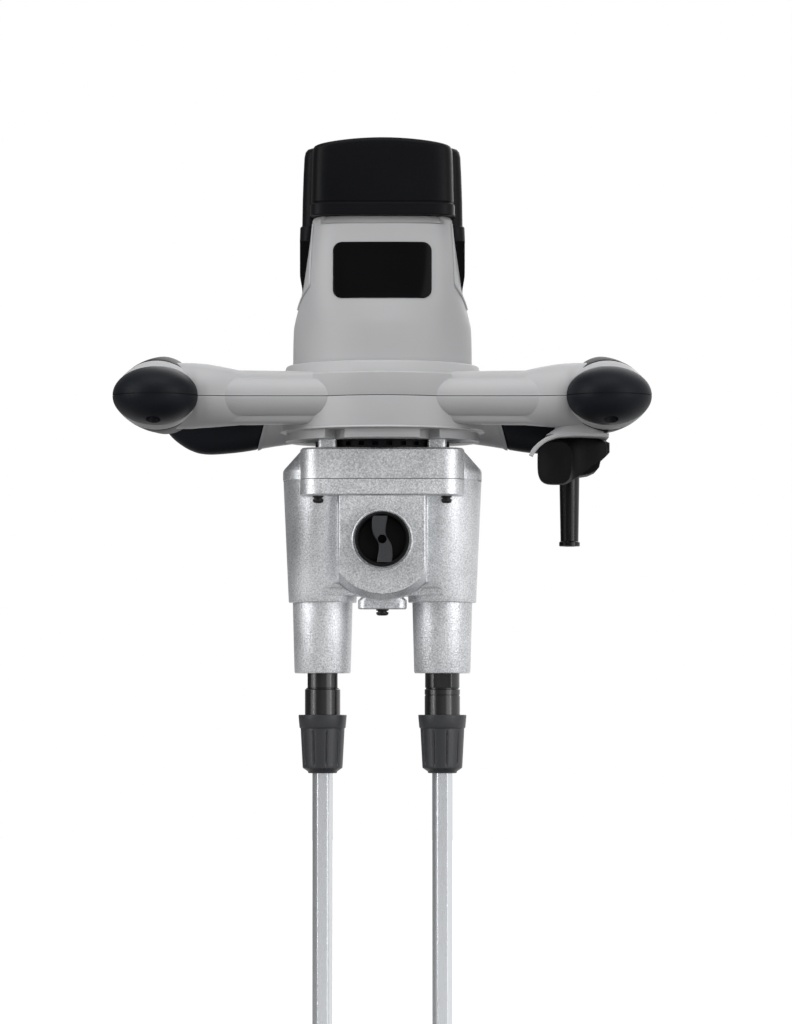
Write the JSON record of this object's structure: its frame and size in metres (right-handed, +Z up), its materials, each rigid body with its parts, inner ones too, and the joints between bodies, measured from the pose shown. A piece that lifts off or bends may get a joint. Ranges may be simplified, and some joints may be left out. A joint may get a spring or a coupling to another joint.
{
  "type": "twin paddle mixing drill",
  "caption": "Hand-held electric mixing drill with a looped two-handed grip, a cast gearbox with a speed knob, and counter-turning quick-change paddles for mortar and plaster.",
  "frame": {"origin": "on the motor axis, in the parting plane of the two handle shells, between the hand grips", "axes": "+Z up along the motor axis, -Y is the front with the speed knob, +X is the trigger's side"},
  "size_m": [0.373, 0.1618, 0.8402],
  "materials": {
    "cap_plastic": "fine textured black moulding",
    "gray_plastic": "fine textured warm gray moulding",
    "label_plate": "smooth gloss black, blank",
    "grip_rubber": "soft matt black rubber",
    "black_plastic": "satin black moulding",
    "boot_rubber": "glossy black rubber",
    "cast_alloy": "speckled silver paint on a casting",
    "screw_black": "black oxide",
    "steel": "ground steel",
    "zinc_steel": "bright zinc",
    "chuck_black": "black oxide, satin",
    "collar_plastic": "dark gray moulding",
    "copper": "enamelled copper wire",
    "brass": "drawn brass",
    "carbon": "pressed carbon",
    "lamination": "stacked iron sheets"
  },
  "bodies": {
    "housing": {"top_cap": "cap_plastic", "cap_screws": "screw_black", "motor_housing": "gray_plastic", "front_plate": "label_plate", "left_side_plate": "label_plate", "right_side_plate": "label_plate", "handle_upper_shell": "gray_plastic", "handle_lower_shell": "gray_plastic", "handle_screws": "screw_black", "trigger_pin": "steel", "trigger_spring": "steel", "switch_housing": "black_plastic", "switch_module": "black_plastic", "cord_boot": "boot_rubber", "vent_neck": "black_plastic", "gearbox_cover": "cast_alloy", "gearbox_case": "cast_alloy", "gearbox_screws": "screw_black", "bearing_plate": "steel", "bearings": "steel", "oil_seals": "boot_rubber", "shift_rail": "steel", "stator_core": "lamination", "field_coils": "copper", "brush_bracket": "black_plastic", "brush_holders": "brass", "carbon_brushes": "carbon", "left_front_cap": "grip_rubber", "left_side_grip": "grip_rubber", "left_rear_cap": "grip_rubber", "left_arm_grip": "grip_rubber", "right_front_cap": "grip_rubber", "right_side_grip": "grip_rubber", "right_rear_cap": "grip_rubber", "right_arm_grip": "grip_rubber"},
    "armature": {"motor_shaft": "steel", "armature_core": "lamination", "armature_windings": "copper", "commutator": "copper", "cooling_fan": "black_plastic"},
    "counter_set": {"counter_shaft": "steel", "first_gear": "steel"},
    "right_idler_set": {"right_idler": "steel", "second_gear": "steel"},
    "left_idler_set": {"left_idler": "steel"},
    "left_drive": {"left_spindle": "steel", "left_spindle_gear": "steel", "left_chuck": "chuck_black", "left_paddle": "zinc_steel", "left_collar_spring": "steel"},
    "right_drive": {"right_spindle": "steel", "right_spindle_gear": "steel", "right_chuck": "chuck_black", "right_paddle": "zinc_steel", "right_collar_spring": "steel"},
    "left_collar_sleeve": {"left_collar": "collar_plastic"},
    "right_collar_sleeve": {"right_collar": "collar_plastic"},
    "selector": {"selector_knob": "black_plastic"},
    "shifter": {"shift_fork": "brass"},
    "trigger_lever": {"trigger": "black_plastic"}
  },
  "joints": [
    {"name": "armature_turn", "type": "hinge", "parent": "housing", "child": "armature", "pos_m": [0, 0, 0], "axis": [0, 0, 1], "continuous": true},
    {"name": "counter_turn", "type": "hinge", "parent": "housing", "child": "counter_set", "pos_m": [0.01249, -0.0205, 0], "axis": [0, 0, 1], "continuous": true},
    {"name": "right_idler_turn", "type": "hinge", "parent": "housing", "child": "right_idler_set", "pos_m": [0.012, 0.007, 0], "axis": [0, 0, 1], "continuous": true},
    {"name": "left_idler_turn", "type": "hinge", "parent": "housing", "child": "left_idler_set", "pos_m": [-0.012, 0.007, 0], "axis": [0, 0, 1], "continuous": true},
    {"name": "left_spindle_turn", "type": "hinge", "parent": "housing", "child": "left_drive", "pos_m": [-0.042, 0.007, 0], "axis": [0, 0, 1], "continuous": true},
    {"name": "right_spindle_turn", "type": "hinge", "parent": "housing", "child": "right_drive", "pos_m": [0.042, 0.007, 0], "axis": [0, 0, 1], "continuous": true},
    {"name": "left_collar_slide", "type": "slide", "parent": "left_drive", "child": "left_collar_sleeve", "axis": [0, 0, 1], "range_m": [0, 0.008], "stiffness_N_per_m": 600, "springref_m": -0.004, "deforming": ["left_collar_spring"]},
    {"name": "right_collar_slide", "type": "slide", "parent": "right_drive", "child": "right_collar_sleeve", "axis": [0, 0, 1], "range_m": [0, 0.008], "stiffness_N_per_m": 600, "springref_m": -0.004, "deforming": ["right_collar_spring"]},
    {"name": "selector_turn", "type": "hinge", "parent": "housing", "child": "selector", "pos_m": [0, -0.05, -0.0987], "axis": [0, 1, 0], "range_deg": [0, 90]},
    {"name": "shift_slide", "type": "slide", "parent": "housing", "child": "shifter", "axis": [0, 0, 1], "range_m": [0, 0.00566]},
    {"name": "trigger_press", "type": "hinge", "parent": "housing", "child": "trigger_lever", "pos_m": [0.134, 0.01, -0.0305], "axis": [-1, 0, 0], "range_deg": [0, 5], "stiffness_Nm_per_rad": 0.6, "springref_deg": -17.19, "deforming": ["trigger_spring"]}
  ],
  "couplings": [
    {"joint": "counter_turn", "follows": "armature_turn", "ratio": -0.2},
    {"joint": "right_idler_turn", "follows": "armature_turn", "ratio": 0.075},
    {"joint": "left_idler_turn", "follows": "armature_turn", "ratio": -0.075},
    {"joint": "left_spindle_turn", "follows": "armature_turn", "ratio": 0.05},
    {"joint": "right_spindle_turn", "follows": "armature_turn", "ratio": -0.05},
    {"joint": "shift_slide", "follows": "selector_turn", "m_per_rad": 0.0036013}
  ]
}
